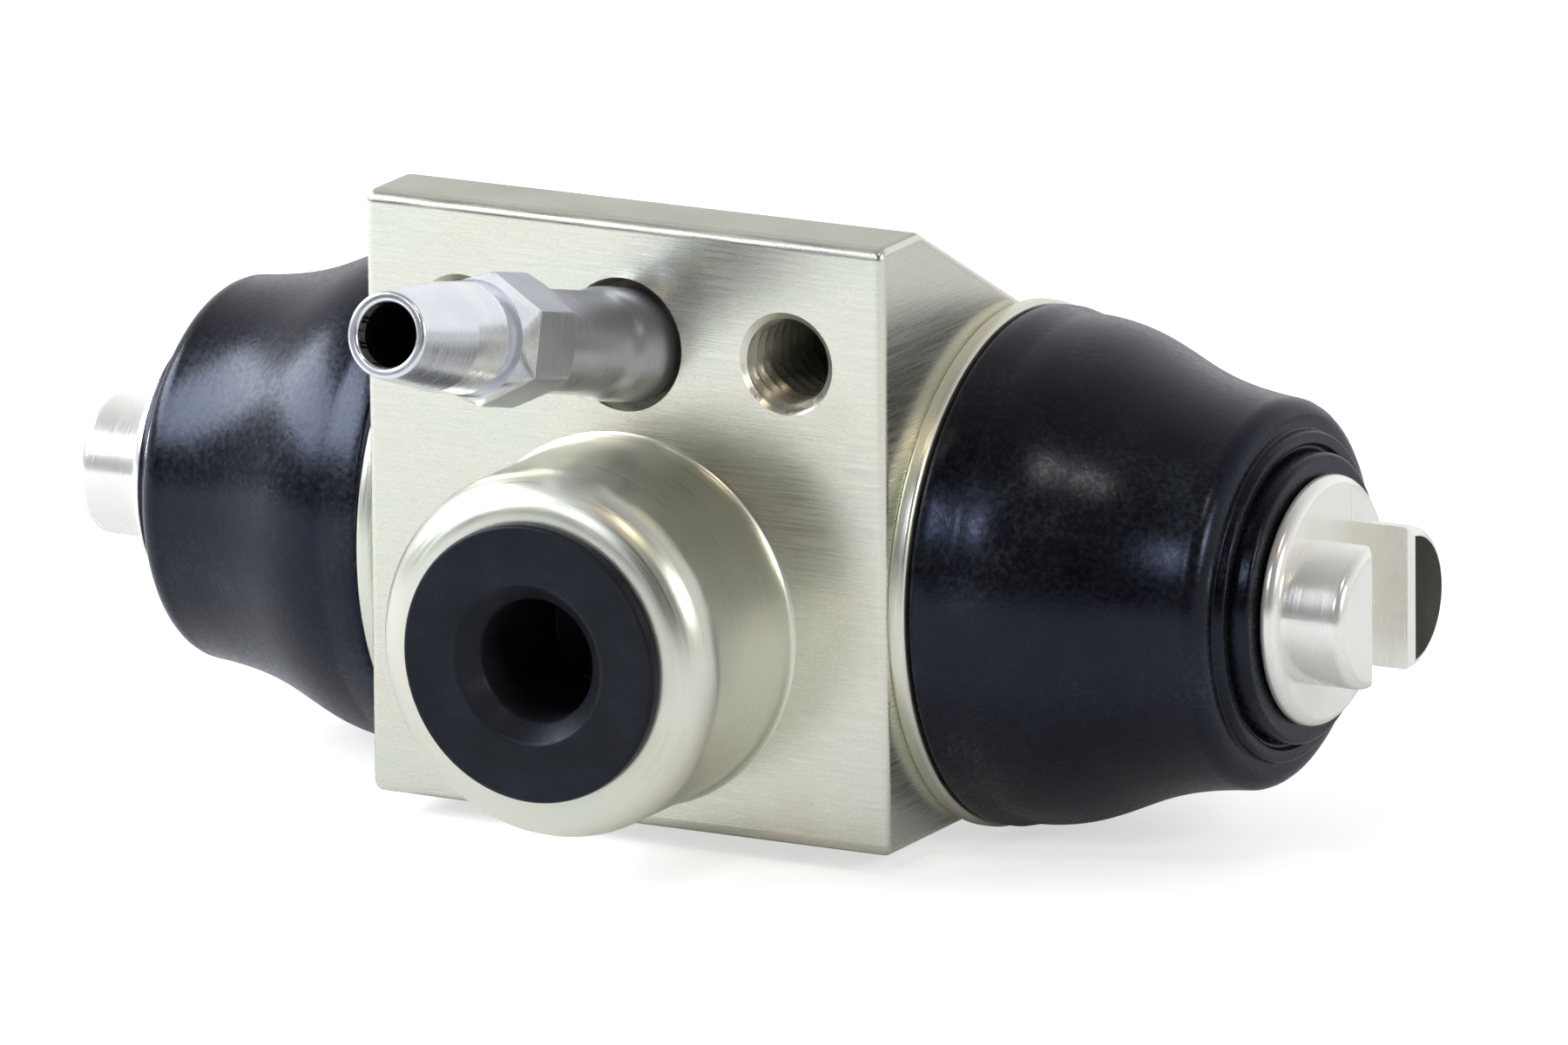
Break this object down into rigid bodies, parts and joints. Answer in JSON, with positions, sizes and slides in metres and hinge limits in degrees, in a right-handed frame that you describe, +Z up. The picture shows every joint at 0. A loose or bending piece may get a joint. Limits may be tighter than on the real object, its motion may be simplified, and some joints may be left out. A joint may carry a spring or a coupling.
{
  "type": "wheel cylinder",
  "caption": "Drum brake wheel cylinder: cast housing with a pilot boss, opposed slotted pistons in rubber dust boots, a tilted bleed screw and a plugged fluid inlet.",
  "frame": {"origin": "where the axis of the pilot boss meets the mounting face", "axes": "+X along the bore, -Y out of the mounting face along the pilot boss, +Z up as fitted, towards the bleed screw"},
  "size_m": [0.087, 0.0615, 0.0404],
  "materials": {
    "plated_casting": "zinc-plated, milled face",
    "plated_screw": "zinc-plated, turned",
    "plated_piston": "bright plated, turned",
    "spring_steel": "drawn wire",
    "pressed_steel": "plain pressed",
    "boot_rubber": "moulded, soft sheen",
    "cup_rubber": "moulded, smooth",
    "plug_plastic": "moulded, satin"
  },
  "bodies": {
    "cylinder": {"housing": "plated_casting", "inlet_plug": "plug_plastic", "return_spring": "spring_steel", "dust_boot_left": "boot_rubber", "dust_boot_right": "boot_rubber"},
    "left_piston": {"piston_left": "plated_piston", "cup_seal_left": "cup_rubber", "cup_expander_left": "pressed_steel"},
    "right_piston": {"piston_right": "plated_piston", "cup_seal_right": "cup_rubber", "cup_expander_right": "pressed_steel"},
    "bleeder": {"bleed_screw": "plated_screw"}
  },
  "joints": [
    {"name": "left_piston_slide", "type": "slide", "parent": "cylinder", "child": "left_piston", "axis": [-1, 0, 0], "range_m": [-0.003, 0.006], "deforming": ["dust_boot_left", "return_spring"]},
    {"name": "right_piston_slide", "type": "slide", "parent": "cylinder", "child": "right_piston", "axis": [1, 0, 0], "range_m": [-0.003, 0.006], "deforming": ["dust_boot_right", "return_spring"]},
    {"name": "bleed_turn", "type": "hinge", "parent": "cylinder", "child": "bleeder", "pos_m": [0, 0, 0.017], "axis": [0, -0.9724, 0.2334], "range_deg": [0, 270]}
  ]
}
